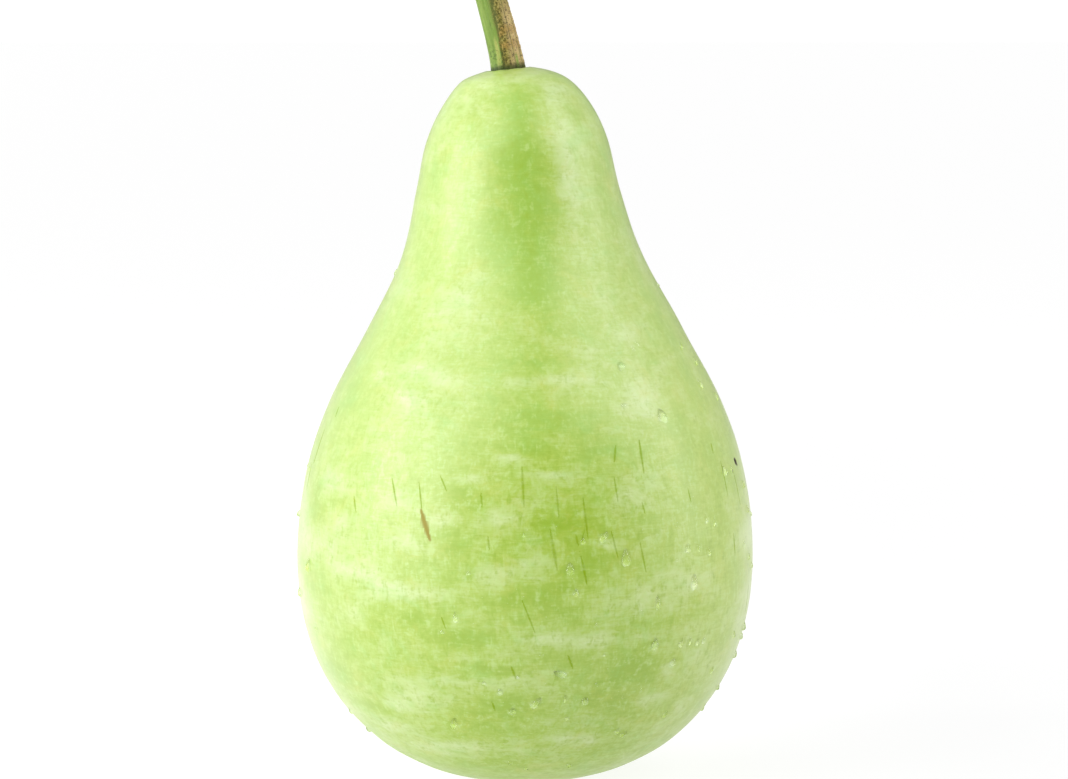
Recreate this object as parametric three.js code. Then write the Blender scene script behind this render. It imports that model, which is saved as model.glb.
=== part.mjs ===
// A bottle gourd, the short pear-shaped kind: a broad round belly that narrows to a thick, blunt
// neck, standing on its blossom end, with the cut stalk that it hung by.
// Millimetres, +Z up. The origin is on the surface that the gourd stands on, under its middle.
import * as THREE from "three";

// ---- Driving dimensions ----
const FRUIT_HEIGHT = 199.5; // standing surface to the rim of the crown, without the stalk
const GIRTH_RADIUS = 64.5; // widest part of the belly
const STALK_RADIUS = 4.4; // middle of the stalk
const STALK_LENGTH = 46; // seat in the crown to the knife cut
const TOUCH_GAP = 0.3; // clearance between the stalk and the fruit round it

const FRUIT_SEGMENTS = 64;
const STALK_SEGMENTS = 30;
const FRUIT_STEPS = 3; // rings between two stations of the fruit's outline
const STALK_STEPS = 2;

// ---- Fruit ----
// The side of the fruit, from the foot up to the rim round the stalk, as [share of the fruit's
// height, share of the girth radius].
const SIDE = [
  [0, 0.217],
  [0.0075, 0.332],
  [0.025, 0.488],
  [0.06, 0.665],
  [0.12, 0.835],
  [0.2, 0.951],
  [0.3, 1],
  [0.42, 0.968],
  [0.53, 0.857],
  [0.64, 0.675],
  [0.74, 0.519],
  [0.83, 0.442],
  [0.9, 0.391],
  [0.95, 0.318],
  [0.985, 0.214],
  [1, 0.104],
];
// The underside, as [radius, height]: the blossom scar is a small button in a shallow pit, and the
// flat ring round the pit is what the gourd stands on.
const BUTTON_RADIUS = 3.2;
const BUTTON_HEIGHT = 1.5;
const PIT_HEIGHT = 2.2;
const FOOT_INNER_RADIUS = 10;
const UNDERSIDE = [
  [0, BUTTON_HEIGHT],
  [BUTTON_RADIUS, BUTTON_HEIGHT],
  [BUTTON_RADIUS + 0.9, PIT_HEIGHT],
  [FOOT_INNER_RADIUS - 3.2, PIT_HEIGHT - 0.4],
  [FOOT_INNER_RADIUS - 1.2, 0.6],
  [FOOT_INNER_RADIUS, 0],
];
// The seat is the flat bottom of the dimple that the stalk grows from.
const SEAT_RADIUS = 5.6;
const SEAT_DEPTH = 1.5;
const DIMPLE = [
  [SEAT_RADIUS + 0.35, FRUIT_HEIGHT - 0.35],
  [SEAT_RADIUS, FRUIT_HEIGHT - SEAT_DEPTH],
  [0, FRUIT_HEIGHT - SEAT_DEPTH],
];
// The neck grows a little off the belly's axis, and the crown a little further, where it also tips
// towards the side that the stalk leans to.
const NECK_DRIFT = new THREE.Vector2(-2.1, 0.9);
const NECK_DRIFT_FROM = 0.64 * FRUIT_HEIGHT;
const NECK_DRIFT_TO = 0.88 * FRUIT_HEIGHT;
const CROWN_DRIFT = new THREE.Vector2(-2.7, 0.4);
const CROWN_RADIUS = 20.5; // the crown's own drift and tip start inside this radius
const RIM_RADIUS = 6.7; // and are whole from here in
const CROWN_TIP = 0.1; // slope of the tipped crown
// The fruit isn't quite round: two and three faint lobes, as shares of its radius.
const OVAL_SHARE = 0.006;
const LOBE_SHARE = 0.005;

// ---- Stalk ----
// [share of the stalk's length, share of its radius]: flared where it leaves the fruit, and a
// little thicker again at the cut.
const STALK_SIDE = [
  [0, 1.11],
  [0.05, 1.09],
  [0.1, 1.05],
  [0.2, 1.02],
  [0.35, 0.99],
  [0.55, 0.95],
  [0.8, 0.94],
  [0.94, 0.99],
  [0.985, 1],
  [1, 0.95],
];
const STALK_ANGLES = 5; // a gourd's stalk has five soft corners
const STALK_ANGLE_SHARE = 0.05;
const STALK_LEAN = new THREE.Vector2(-11.6, 3); // how far the cut lies to the side of the seat
const STALK_HEEL = 0.19; // share of its length in which it rises square off the seat
const STALK_BEND = 0.62; // and by which its lean is set
const CUT_SLANT = 0.16; // slope of the knife cut across the stalk

const skin = new THREE.MeshStandardMaterial({ name: "skin", color: 0xc3e07c, roughness: 0.38, metalness: 0 });
const bark = new THREE.MeshStandardMaterial({ name: "stalk", color: 0x8f9a55, roughness: 0.75, metalness: 0 });

// A smooth outline through stations [height, radius], as points [radius, height].
function smoothOutline(stations, steps) {
  const curve = new THREE.SplineCurve(stations.map(([height, radius]) => new THREE.Vector2(radius, height)));
  return curve.getPoints(steps * (stations.length - 1));
}

// An outline turned about the Z axis.
function turned(outline, segments) {
  const points = outline.map((p) => (Array.isArray(p) ? new THREE.Vector2(...p) : p));
  return new THREE.LatheGeometry(points, segments).rotateX(Math.PI / 2);
}

// Moves each vertex of a turned shape by a rule that sees its radius, angle and height.
function reshaped(geometry, rule) {
  const position = geometry.attributes.position;
  const vertex = new THREE.Vector3();
  for (let i = 0; i < position.count; i++) {
    vertex.fromBufferAttribute(position, i);
    const moved = rule(Math.hypot(vertex.x, vertex.y), Math.atan2(vertex.y, vertex.x), vertex.z);
    position.setXYZ(i, moved.x, moved.y, moved.z);
  }
  geometry.computeVertexNormals();
  return geometry;
}

// Where the fruit's axis passes at a ring of this radius and height, and how much of the crown's
// own drift and tip the ring has.
function fruitAxis(radius, height) {
  const { smoothstep } = THREE.MathUtils;
  const neck = smoothstep(height, NECK_DRIFT_FROM, NECK_DRIFT_TO);
  const inwards = smoothstep(CROWN_RADIUS - radius, 0, CROWN_RADIUS - RIM_RADIUS);
  const crown = height > NECK_DRIFT_TO ? inwards : 0;
  return {
    x: NECK_DRIFT.x * neck + CROWN_DRIFT.x * crown,
    y: NECK_DRIFT.y * neck + CROWN_DRIFT.y * crown,
    crown,
  };
}

function fruit() {
  const side = smoothOutline(SIDE.map(([h, r]) => [h * FRUIT_HEIGHT, r * GIRTH_RADIUS]), FRUIT_STEPS);
  const geometry = turned([...UNDERSIDE, ...side, ...DIMPLE], FRUIT_SEGMENTS);
  reshaped(geometry, (radius, angle, height) => {
    const axis = fruitAxis(radius, height);
    const lobes = 1 + OVAL_SHARE * Math.sin(2 * angle) + LOBE_SHARE * Math.sin(3 * angle);
    const across = radius * lobes * Math.cos(angle);
    return new THREE.Vector3(
      axis.x + across,
      axis.y + radius * lobes * Math.sin(angle),
      height + CROWN_TIP * across * axis.crown,
    );
  });
  const mesh = new THREE.Mesh(geometry, skin);
  mesh.name = "fruit";
  return mesh;
}

// The stalk's own line: square off the tipped seat, then leaning away.
function stalkLine() {
  const top = fruitAxis(0, FRUIT_HEIGHT);
  const off = new THREE.Vector3(-CROWN_TIP, 0, 1).normalize();
  const seat = new THREE.Vector3(top.x, top.y, FRUIT_HEIGHT - SEAT_DEPTH).addScaledVector(off, TOUCH_GAP);
  const climb = Math.sqrt(STALK_LENGTH ** 2 - STALK_LEAN.lengthSq());
  const cut = seat.clone().add(new THREE.Vector3(STALK_LEAN.x, STALK_LEAN.y, climb));
  const knee = seat.clone().lerp(cut, STALK_BEND);
  const heel = seat.clone().addScaledVector(off, STALK_HEEL * STALK_LENGTH);
  return new THREE.CubicBezierCurve3(seat, heel, knee, cut);
}

function stalk() {
  const side = smoothOutline(STALK_SIDE.map(([s, r]) => [s * STALK_LENGTH, r * STALK_RADIUS]), STALK_STEPS);
  const geometry = turned([[0, 0], ...side, [0, STALK_LENGTH]], STALK_SEGMENTS);
  const line = stalkLine();
  const sideways = new THREE.Vector3(1, 0, 0);
  reshaped(geometry, (radius, angle, along) => {
    const ridged = radius * (1 + STALK_ANGLE_SHARE * Math.cos(STALK_ANGLES * angle));
    const share = THREE.MathUtils.clamp(along / STALK_LENGTH, 0, 1);
    const slant = CUT_SLANT * ridged * Math.cos(angle) * THREE.MathUtils.smoothstep(share, 0.8, 1);
    const centre = line.getPointAt(share);
    const ahead = line.getTangentAt(share);
    const right = sideways.clone().addScaledVector(ahead, -ahead.x).normalize();
    const back = new THREE.Vector3().crossVectors(ahead, right);
    return centre
      .addScaledVector(right, ridged * Math.cos(angle))
      .addScaledVector(back, ridged * Math.sin(angle))
      .addScaledVector(ahead, slant);
  });
  const mesh = new THREE.Mesh(geometry, bark);
  mesh.name = "stalk";
  return mesh;
}

const gourd = new THREE.Group();
gourd.add(fruit(), stalk());

export default gourd;
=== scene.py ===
"""A short, pear-shaped bottle gourd standing on its blossom end in a white studio: the waxy green
fruit, the cut stalk on its crown, and the water that it was sprinkled with.
Metres, +Z up. The origin is on the floor, under the middle of the belly."""
import math
import random

import bpy
import numpy as np
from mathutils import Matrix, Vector
from mathutils.bvhtree import BVHTree


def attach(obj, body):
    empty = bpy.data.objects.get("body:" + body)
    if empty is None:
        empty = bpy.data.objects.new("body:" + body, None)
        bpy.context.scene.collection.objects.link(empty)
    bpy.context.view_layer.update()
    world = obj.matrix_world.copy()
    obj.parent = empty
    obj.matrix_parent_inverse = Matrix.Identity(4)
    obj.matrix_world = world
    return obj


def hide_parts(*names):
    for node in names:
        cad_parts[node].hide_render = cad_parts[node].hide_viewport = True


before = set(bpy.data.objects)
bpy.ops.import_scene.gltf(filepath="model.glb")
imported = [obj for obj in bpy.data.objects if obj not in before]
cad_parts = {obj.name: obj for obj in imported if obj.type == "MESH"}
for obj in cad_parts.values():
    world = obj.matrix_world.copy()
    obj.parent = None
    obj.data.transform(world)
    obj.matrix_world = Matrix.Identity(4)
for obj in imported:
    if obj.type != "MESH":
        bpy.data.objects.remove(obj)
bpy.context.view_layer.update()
MM = 0.001
scene = bpy.context.scene

# ---- Studio ----
# A white room with a pale floor, lit mostly from its left side and from above, with a window behind
# on the right. Tall softboxes to the left and right send their sheen down the two sides of the neck,
# with the greener skin between them, and two wide ones hang above.
VIEW_WIDTH, VIEW_HEIGHT = 1068, 779
VIEW_ELEVATION = math.radians(6)
VIEW_DISTANCE = 1.0
VIEW_TARGET = Vector((2.45, 0, 109.6)) * MM
LENS_MM, SENSOR_MM = 119.5, 36

# The light from each side of the room: the way to it, how narrow it is, and its strength.
ROOM_LIGHT = {"left": ((-1, 0, 0), 1, 1.6), "above": ((0, 0, 1), 1, 1.0),
              "window": ((0.87, 0.5, 0), 4, 0.8)}
FLOOR_SIZE = 60
PAPER_GREY = "#808080"
FLOOR_GLOW_LEFT, FLOOR_GLOW_RIGHT, FLOOR_GLOW_FAR = 1.12, 0.68, 0.74
FLOOR_GLOW_TURN = 0.15  # to each side of the gourd, where the left glow has turned into the right
FLOOR_GLOW_SPAN = (0.2, 1.3)  # from the gourd, where the near glow turns into the far one


def add(kind, inputs=None, **settings):
    """Adds a node to the tree in hand and gives its outputs. Settings are its properties, inputs its
    sockets' values or the sockets that feed them."""
    made = tree.nodes.new(kind)
    for name, value in settings.items():
        setattr(made, name, value)
    for socket, value in (inputs or {}).items():
        if isinstance(value, bpy.types.NodeSocket):
            tree.links.new(value, made.inputs[socket])
        else:
            made.inputs[socket].default_value = value
    return made.outputs


def ramp(value, low, high, to_low=0.0, to_high=1.0):
    """A smooth step of a value between two levels."""
    return add("ShaderNodeMapRange", {
        "Value": value, "From Min": low, "From Max": high, "To Min": to_low, "To Max": to_high,
    }, interpolation_type="SMOOTHSTEP")["Result"]


def colour(hex_code):
    """An sRGB hex colour as linear RGBA."""
    shares = [int(hex_code[i:i + 2], 16) / 255 for i in (1, 3, 5)]
    return [s / 12.92 if s <= 0.04045 else ((s + 0.055) / 1.055) ** 2.4 for s in shares] + [1]


def aim(thing, place, target):
    """Puts a camera or a light at a place, facing a target."""
    thing.location = place
    thing.rotation_euler = (target - place).to_track_quat("-Z", "Y").to_euler()
    scene.collection.objects.link(thing)


camera = bpy.data.objects.new("camera", bpy.data.cameras.new("camera"))
camera.data.lens, camera.data.sensor_width = LENS_MM, SENSOR_MM
camera_way = Vector((0, -math.cos(VIEW_ELEVATION), math.sin(VIEW_ELEVATION)))
aim(camera, VIEW_TARGET + camera_way * VIEW_DISTANCE, VIEW_TARGET)
scene.camera = camera
scene.view_settings.view_transform = "Standard"

room = bpy.data.worlds.new("white_room")
room.use_nodes = True
tree = room.node_tree
way = add("ShaderNodeTexCoord")["Generated"]
# Past the floor's edge the camera sees plain white.
light = add("ShaderNodeLightPath")["Is Camera Ray"]
for side, narrow, strength in ROOM_LIGHT.values():
    facing = add("ShaderNodeVectorMath", {0: way, 1: side}, operation="DOT_PRODUCT")["Value"]
    facing = add("ShaderNodeMath", {0: facing, 1: 0.0}, operation="MAXIMUM")[0]
    facing = add("ShaderNodeMath", {0: facing, 1: narrow}, operation="POWER")[0]
    light = add("ShaderNodeMath", {0: facing, 1: strength, 2: light}, operation="MULTIPLY_ADD")[0]
tree.links.new(light, tree.nodes["Background"].inputs["Color"])
scene.world = room

# name: degrees round from the camera (+ is to the right), degrees up, (width, tall), watts
SOFTBOXES = {
    "softbox_left": (-80, 8, (0.22, 1.2), 5.1),
    "softbox_front_left": (-53, 8, (0.5, 1.2), 6.1),
    "softbox_right": (92, 8, (0.22, 1.2), 3.7),
    "softbox_front_right": (70, 8, (0.22, 1.2), 2.4),
    "softbox_above_left": (-32, 45, (0.7, 0.6), 2.4),
    "softbox_above_right": (62, 45, (0.9, 0.6), 3.9),
}
SOFTBOX_DISTANCE = 1.2
SOFTBOX_TARGET = Vector((0, 0, 0.1))
for name, (degrees_round, degrees_up, size, watts) in SOFTBOXES.items():
    lamp = bpy.data.lights.new(name, "AREA")
    lamp.shape = "RECTANGLE"
    lamp.size, lamp.size_y = size
    lamp.energy = watts
    round_, up = math.radians(degrees_round), math.radians(degrees_up)
    way = Vector((math.sin(round_) * math.cos(up), -math.cos(round_) * math.cos(up), math.sin(up)))
    softbox = bpy.data.objects.new(name, lamp)
    aim(softbox, SOFTBOX_TARGET + way * SOFTBOX_DISTANCE, SOFTBOX_TARGET)
    softbox.visible_camera = False

floor_mesh = bpy.data.meshes.new("floor")
reach = FLOOR_SIZE / 2
floor_mesh.from_pydata(
    [(-reach, -reach, 0), (reach, -reach, 0), (reach, reach, 0), (-reach, reach, 0)], [], [(0, 1, 2, 3)])
floor = bpy.data.objects.new("floor", floor_mesh)
scene.collection.objects.link(floor)
paper = bpy.data.materials.new("white_paper_sweep")
paper.use_nodes = True
tree = paper.node_tree
sheet = tree.nodes["Principled BSDF"].inputs
sheet["Base Color"].default_value = colour(PAPER_GREY)
sheet["Roughness"].default_value = 0.8
sheet["Specular IOR Level"].default_value = 0.1
sheet["Emission Color"].default_value = (1, 1, 1, 1)
spot = add("ShaderNodeTexCoord")["Object"]
east = add("ShaderNodeSeparateXYZ", {0: spot})["X"]
glow = ramp(east, -FLOOR_GLOW_TURN, FLOOR_GLOW_TURN, FLOOR_GLOW_LEFT, FLOOR_GLOW_RIGHT)
from_middle = add("ShaderNodeVectorMath", {0: spot}, operation="LENGTH")["Value"]
glow = ramp(from_middle, *FLOOR_GLOW_SPAN, glow, FLOOR_GLOW_FAR)
tree.links.new(glow, sheet["Emission Strength"])
floor_mesh.materials.append(paper)

# ---- Fruit ----
# One grown piece: a broad belly, a thick neck a little off its axis, and a blunt crown tipped to
# the side that the stalk leans to. It stands on a flat ring round the pitted blossom scar.
FRUIT_HEIGHT = 199.5 * MM
GIRTH_RADIUS = 64.5 * MM
# The side, from the foot up to the rim round the stalk: shares of the height and of the girth.
SIDE = [
    (0, 0.217), (0.0075, 0.332), (0.025, 0.488), (0.06, 0.665), (0.12, 0.835), (0.2, 0.951),
    (0.3, 1), (0.42, 0.968), (0.53, 0.861), (0.64, 0.681), (0.74, 0.524), (0.83, 0.445),
    (0.9, 0.395), (0.95, 0.323), (0.986, 0.228), (1, 0.104),
]
# The underside and the seat of the stalk, as radius and height in millimetres.
UNDERSIDE = [(0, 1.5), (2.2, 1.5), (3.2, 1.6), (4.1, 2.2), (6.8, 1.8), (8.8, 0.6), (10, 0)]
SEAT = [(5.7, -0.4), (5.0, -1.2), (0, -1.5)]  # heights below the rim
NECK_DRIFT = Vector((-2.1, 0.9, 0)) * MM
NECK_DRIFT_SPAN = (0.64 * FRUIT_HEIGHT, 0.88 * FRUIT_HEIGHT)
CROWN_DRIFT = Vector((-2.7, 0.4, 0)) * MM
CROWN_SPAN = (20.5 * MM, 6.7 * MM)  # radii between which the crown's own drift and tip set in
CROWN_TIP = 0.1
OVAL_SHARE, LOBE_SHARE = 0.006, 0.005
SKIN_RINGS, SKIN_SEGMENTS = 300, 320
SWELL = 0.35 * MM  # slow unevenness of the growth
SWELL_SIZE = 38 * MM
SWELL_OFF_FLOOR, SWELL_OFF_SEAT = (1 * MM, 12 * MM), (199 * MM, 190 * MM)  # where it sets in
PUCKER = 0.05 * MM  # folds that run in to the stalk
PUCKER_COUNT = 9
SKIN_WELD = 0.01 * MM  # joins the seam and the poles


def outline(name, points):
    """A line through points in the XZ plane, as an object that a tree reads."""
    line = bpy.data.curves.new(name, "CURVE")
    line.dimensions = "3D"
    spline = line.splines.new("POLY")
    spline.points.add(len(points) - 1)
    for point, (across, up) in zip(spline.points, points):
        point.co = (across, 0, up, 1)
    made = bpy.data.objects.new(name, line)
    scene.collection.objects.link(made)
    return made


def new_tree(name, sizes):
    """A Geometry Nodes tree with named inputs {name: (kind, value)}, and those inputs."""
    made = bpy.data.node_groups.new(name, "GeometryNodeTree")
    for label, (kind, _) in sizes.items():
        made.interface.new_socket(label, in_out="INPUT", socket_type="NodeSocket" + kind)
    made.interface.new_socket("Geometry", in_out="OUTPUT", socket_type="NodeSocketGeometry")
    return made, made.nodes.new("NodeGroupInput").outputs


def grow(name, shape, sizes):
    """Ends the tree in hand with this shape in its material, runs it with its sizes, and returns
    the result as a plain mesh object."""
    smooth = add("GeometryNodeSetShadeSmooth", {0: shape})[0]
    solid = add("GeometryNodeRealizeInstances", {0: smooth})[0]
    finished = add("GeometryNodeSetMaterial", {"Geometry": solid, "Material": given["Material"]})[0]
    tree.links.new(finished, tree.nodes.new("NodeGroupOutput").inputs["Geometry"])
    seed = bpy.data.objects.new(name, bpy.data.meshes.new(name + "_seed"))
    scene.collection.objects.link(seed)
    modifier = seed.modifiers.new("grow", "NODES")
    modifier.node_group = tree
    for socket in tree.interface.items_tree:
        if socket.in_out == "INPUT":
            modifier[socket.identifier] = sizes[socket.name][1]
    graph = bpy.context.evaluated_depsgraph_get()
    mesh = bpy.data.meshes.new_from_object(seed.evaluated_get(graph), depsgraph=graph)
    seed.modifiers.clear()
    seed.data = mesh
    mesh.name = name
    return seed


def turned_grid():
    """A grid whose rows follow the tree's outline and whose columns go round. Gives the grid, the
    angle and the outline's radius and height at each point."""
    line = add("GeometryNodeObjectInfo", {"Object": given["Outline"]})["Geometry"]
    line = add("GeometryNodeCurveSplineType", {"Curve": line}, spline_type="CATMULL_ROM")["Curve"]
    line = add("GeometryNodeSetSplineResolution", {0: line, "Resolution": 16})[0]
    columns = add("FunctionNodeIntegerMath", {0: given["Segments"], 1: 1}, operation="ADD")[0]
    grid = add("GeometryNodeMeshGrid", {
        "Size X": 1.0, "Size Y": 1.0, "Vertices X": columns, "Vertices Y": given["Rings"]})["Mesh"]
    place = add("ShaderNodeSeparateXYZ", {0: add("GeometryNodeInputPosition")[0]})
    angle = add("ShaderNodeMath", {0: place["X"], 1: math.tau}, operation="MULTIPLY")[0]
    share = add("ShaderNodeMath", {0: place["Y"], 1: 0.5}, operation="ADD")[0]
    sample = add("GeometryNodeSampleCurve", {"Curves": line, "Factor": share}, mode="FACTOR")
    radius_height = add("ShaderNodeSeparateXYZ", {0: sample["Position"]})
    return grid, angle, radius_height["X"], radius_height["Z"]


def round_axis(angle, radius):
    """How far across and back a point lies at this angle round the axis and this far from it."""
    cosine = add("ShaderNodeMath", {0: angle}, operation="COSINE")[0]
    sine = add("ShaderNodeMath", {0: angle}, operation="SINE")[0]
    return (add("ShaderNodeMath", {0: radius, 1: cosine}, operation="MULTIPLY")[0],
            add("ShaderNodeMath", {0: radius, 1: sine}, operation="MULTIPLY")[0])


def unevenness(place, size, detail, rough=0.5):
    """Noise with features of this size, from 0 to 1 and mostly near 0.5, so half of what it is
    multiplied by lies to each side."""
    scale = add("ShaderNodeMath", {0: 1.0, 1: size}, operation="DIVIDE")[0]
    return add("ShaderNodeTexNoise", {
        "Vector": place, "Scale": scale, "Detail": detail, "Roughness": rough})


def wave(angle, count, size):
    """size * sin(count * angle)"""
    turned = add("ShaderNodeMath", {0: angle, 1: count}, operation="MULTIPLY")[0]
    sine = add("ShaderNodeMath", {0: turned}, operation="SINE")[0]
    return add("ShaderNodeMath", {0: sine, 1: size}, operation="MULTIPLY")[0]


rind = bpy.data.materials.new("waxy_gourd_rind")
fruit_outline = outline("fruit_outline", [
    *[(r * MM, h * MM) for r, h in UNDERSIDE],
    *[(r * GIRTH_RADIUS, h * FRUIT_HEIGHT) for h, r in SIDE],
    *[(r * MM, FRUIT_HEIGHT + h * MM) for r, h in SEAT]])
fruit_sizes = {"Outline": ("Object", fruit_outline), "Rings": ("Int", SKIN_RINGS),
               "Segments": ("Int", SKIN_SEGMENTS), "Neck Drift": ("Vector", NECK_DRIFT),
               "Neck From": ("Float", NECK_DRIFT_SPAN[0]), "Neck To": ("Float", NECK_DRIFT_SPAN[1]),
               "Crown Drift": ("Vector", CROWN_DRIFT), "Crown From": ("Float", CROWN_SPAN[0]),
               "Crown To": ("Float", CROWN_SPAN[1]), "Crown Tip": ("Float", CROWN_TIP),
               "Oval Share": ("Float", OVAL_SHARE), "Lobe Share": ("Float", LOBE_SHARE),
               "Swell": ("Float", 2 * SWELL), "Swell Size": ("Float", SWELL_SIZE),
               "Pucker": ("Float", PUCKER), "Pucker Count": ("Int", PUCKER_COUNT),
               "Material": ("Material", rind)}
tree, given = new_tree("fruit", fruit_sizes)
grid, angle, radius, height = turned_grid()
oval = wave(angle, 2, given["Oval Share"])
lobe = wave(angle, 3, given["Lobe Share"])
lobes = add("ShaderNodeMath", {0: oval, 1: lobe}, operation="ADD")[0]
reach_out = add("ShaderNodeMath", {0: lobes, 1: radius, 2: radius}, operation="MULTIPLY_ADD")[0]
across, back = round_axis(angle, reach_out)
neck = ramp(height, given["Neck From"], given["Neck To"])
inwards = ramp(radius, given["Crown From"], given["Crown To"])
above = add("ShaderNodeMath", {0: height, 1: given["Neck To"]}, operation="GREATER_THAN")[0]
crown = add("ShaderNodeMath", {0: inwards, 1: above}, operation="MULTIPLY")[0]
tip = add("ShaderNodeMath", {0: across, 1: given["Crown Tip"]}, operation="MULTIPLY")[0]
tipped = add("ShaderNodeMath", {0: tip, 1: crown, 2: height}, operation="MULTIPLY_ADD")[0]
folds = wave(angle, given["Pucker Count"], given["Pucker"])
puckered = add("ShaderNodeMath", {0: folds, 1: crown, 2: tipped}, operation="MULTIPLY_ADD")[0]
resting = add("ShaderNodeMath", {0: puckered, 1: 0.0}, operation="MAXIMUM")[0]
ring_point = add("ShaderNodeCombineXYZ", {"X": across, "Y": back, "Z": resting})[0]
neck_shift = add("ShaderNodeVectorMath", {0: given["Neck Drift"], "Scale": neck}, operation="SCALE")[0]
crown_shift = add("ShaderNodeVectorMath", {0: given["Crown Drift"], "Scale": crown},
                  operation="SCALE")[0]
shift = add("ShaderNodeVectorMath", {0: neck_shift, 1: crown_shift}, operation="ADD")[0]
place = add("ShaderNodeVectorMath", {0: ring_point, 1: shift}, operation="ADD")[0]
shaped = add("GeometryNodeSetPosition", {"Geometry": grid, "Position": place})[0]
closed = add("GeometryNodeMergeByDistance", {"Geometry": shaped, "Distance": SKIN_WELD})[0]
# The unevenness fades out towards the floor and the seat of the stalk.
here = add("GeometryNodeInputPosition")[0]
bumps = unevenness(here, given["Swell Size"], 2.0)["Fac"]
rise = add("ShaderNodeMath", {0: bumps, 1: 0.5}, operation="SUBTRACT")[0]
swell = add("ShaderNodeMath", {0: rise, 1: given["Swell"]}, operation="MULTIPLY")[0]
up = add("ShaderNodeSeparateXYZ", {0: here})["Z"]
free = add("ShaderNodeMath", {0: ramp(up, *SWELL_OFF_FLOOR), 1: ramp(up, *SWELL_OFF_SEAT)},
           operation="MULTIPLY")[0]
swelling = add("ShaderNodeMath", {0: swell, 1: free}, operation="MULTIPLY")[0]
normal = add("GeometryNodeInputNormal")[0]
offset = add("ShaderNodeVectorMath", {0: normal, "Scale": swelling}, operation="SCALE")[0]
grown = add("GeometryNodeSetPosition", {"Geometry": closed, "Offset": offset})[0]
fruit = grow("gourd_fruit", grown, fruit_sizes)
bpy.data.objects.remove(fruit_outline)

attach(fruit, "root")
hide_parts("fruit")

# Where the marks of the skin lie. A pair of numbers that starts an entry is a place in the camera's
# frame, across and down, so the seen side is set one by one; the unseen sides are drawn at random.
# Pale clouds and greener blotches: place, half width and half height in millimetres. The two long pale
# ones on the neck, at (567, 168) and (462, 300), widen its two sheens: painted highlight.
PALE_AND_SHEEN = [
    (556, 90, 5, 3), (567, 168, 4.5, 15), (509, 77, 10, 5), (462, 300, 8, 12), (425, 370, 7, 2.2),
    (447, 382, 6, 2.4), (405, 397, 7, 3), (380, 374, 4, 2), (552, 380, 12, 1.6), (645, 396, 6, 5),
    (628, 412, 6, 3), (507, 457, 6, 1.4), (552, 475, 6, 1), (507, 519, 9, 4), (400, 542, 8, 3.6),
    (330, 545, 8, 6), (352, 570, 8, 3), (378, 590, 6, 4), (418, 592, 13, 2.6), (507, 577, 11, 3.4),
    (527, 563, 6, 1.3), (350, 615, 8, 5), (630, 603, 13, 5.5), (680, 583, 6, 8), (707, 586, 4, 5),
    (590, 642, 9, 2.4), (546, 640, 5, 1.4), (690, 645, 11, 8), (664, 672, 5, 3), (486, 682, 12, 2.2),
    (425, 694, 12, 4), (400, 706, 8, 2.4), (394, 727, 8, 2.6), (560, 738, 5, 2), (596, 740, 6, 3),
    (450, 752, 16, 4), (640, 490, 9, 6), (625, 335, 8, 4), (440, 520, 5, 2), (335, 480, 8, 4),
    (470, 480, 5, 1.5), (340, 520, 5, 3), (650, 698, 7, 1.6), (610, 545, 5, 2), (570, 600, 4, 1.6),
    (455, 745, 8, 2),
]
# The long greener ones down the middle of the neck, between its two sheens, are partly the skin's own
# green and partly painted shade.
DEEP_AND_SHADE = [
    (466, 495, 4.5, 3.6), (568, 604, 5, 6), (452, 548, 3, 3), (710, 460, 5, 8), (698, 400, 4, 15),
    (682, 440, 4, 10), (668, 330, 4, 9), (495, 670, 7, 2.4), (515, 706, 7, 2.6), (481, 715, 4, 1.6),
    (372, 706, 6, 2), (721, 525, 4, 6), (347, 642, 5, 5), (525, 597, 8, 3), (668, 622, 9, 2),
    (640, 667, 13, 5), (315, 500, 3, 6), (522, 185, 7.5, 18), (518, 115, 5, 12), (541, 245, 5, 13),
    (505, 235, 7, 8), (528, 290, 7, 6), (366, 345, 4, 7), (352, 392, 5, 7), (540, 418, 15, 3.4),
    (532, 362, 8, 1.2), (585, 555, 8, 7), (600, 450, 6, 2), (530, 450, 6, 1.6), (410, 620, 7, 3),
    (445, 640, 8, 3), (610, 700, 10, 4), (560, 520, 9, 4), (480, 640, 8, 2.4), (690, 505, 5, 5),
]
# Healed scratches, where leaves and stems rubbed the growing skin: from and to.
SCRATCHES = [
    (522, 466, 524, 507), (556, 485, 559, 519), (481, 492, 482, 508), (583, 497, 588, 539),
    (550, 528, 557, 570), (576, 534, 578, 546), (488, 535, 489, 550), (614, 476, 618, 503),
    (616, 445, 614, 462), (639, 439, 644, 474), (642, 502, 645, 514), (611, 530, 618, 558),
    (640, 542, 646, 572), (581, 556, 587, 585), (688, 488, 691, 503), (711, 443, 713, 453),
    (354, 496, 356, 513), (392, 478, 397, 507), (440, 475, 447, 492), (522, 600, 535, 633),
    (441, 616, 446, 630), (492, 701, 495, 711), (511, 666, 516, 679), (568, 655, 573, 669),
    (419, 481, 422, 512),
]
SCAR = [(421, 510), (430, 540)]  # one brown, corky scar
CHIPS = [(735, 460, 1.0, 1.0), (736.5, 464, 0.9, 0.9), (732, 470, 0.8, 0.7)]  # dark, laid as clouds are
PALE_AND_SHEEN_STRENGTH, DEEP_AND_SHADE_STRENGTH, CHIP_STRENGTH = 0.6, 0.55, 1.0
FAINTEST_SCRATCH = 2.0  # times narrower than the plainest
UNSEEN_FROM = math.radians(64)  # degrees round from the camera where the random marks take over
UNSEEN_PALE, UNSEEN_DEEP, UNSEEN_SCRATCHES = 80, 44, 42
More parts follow.
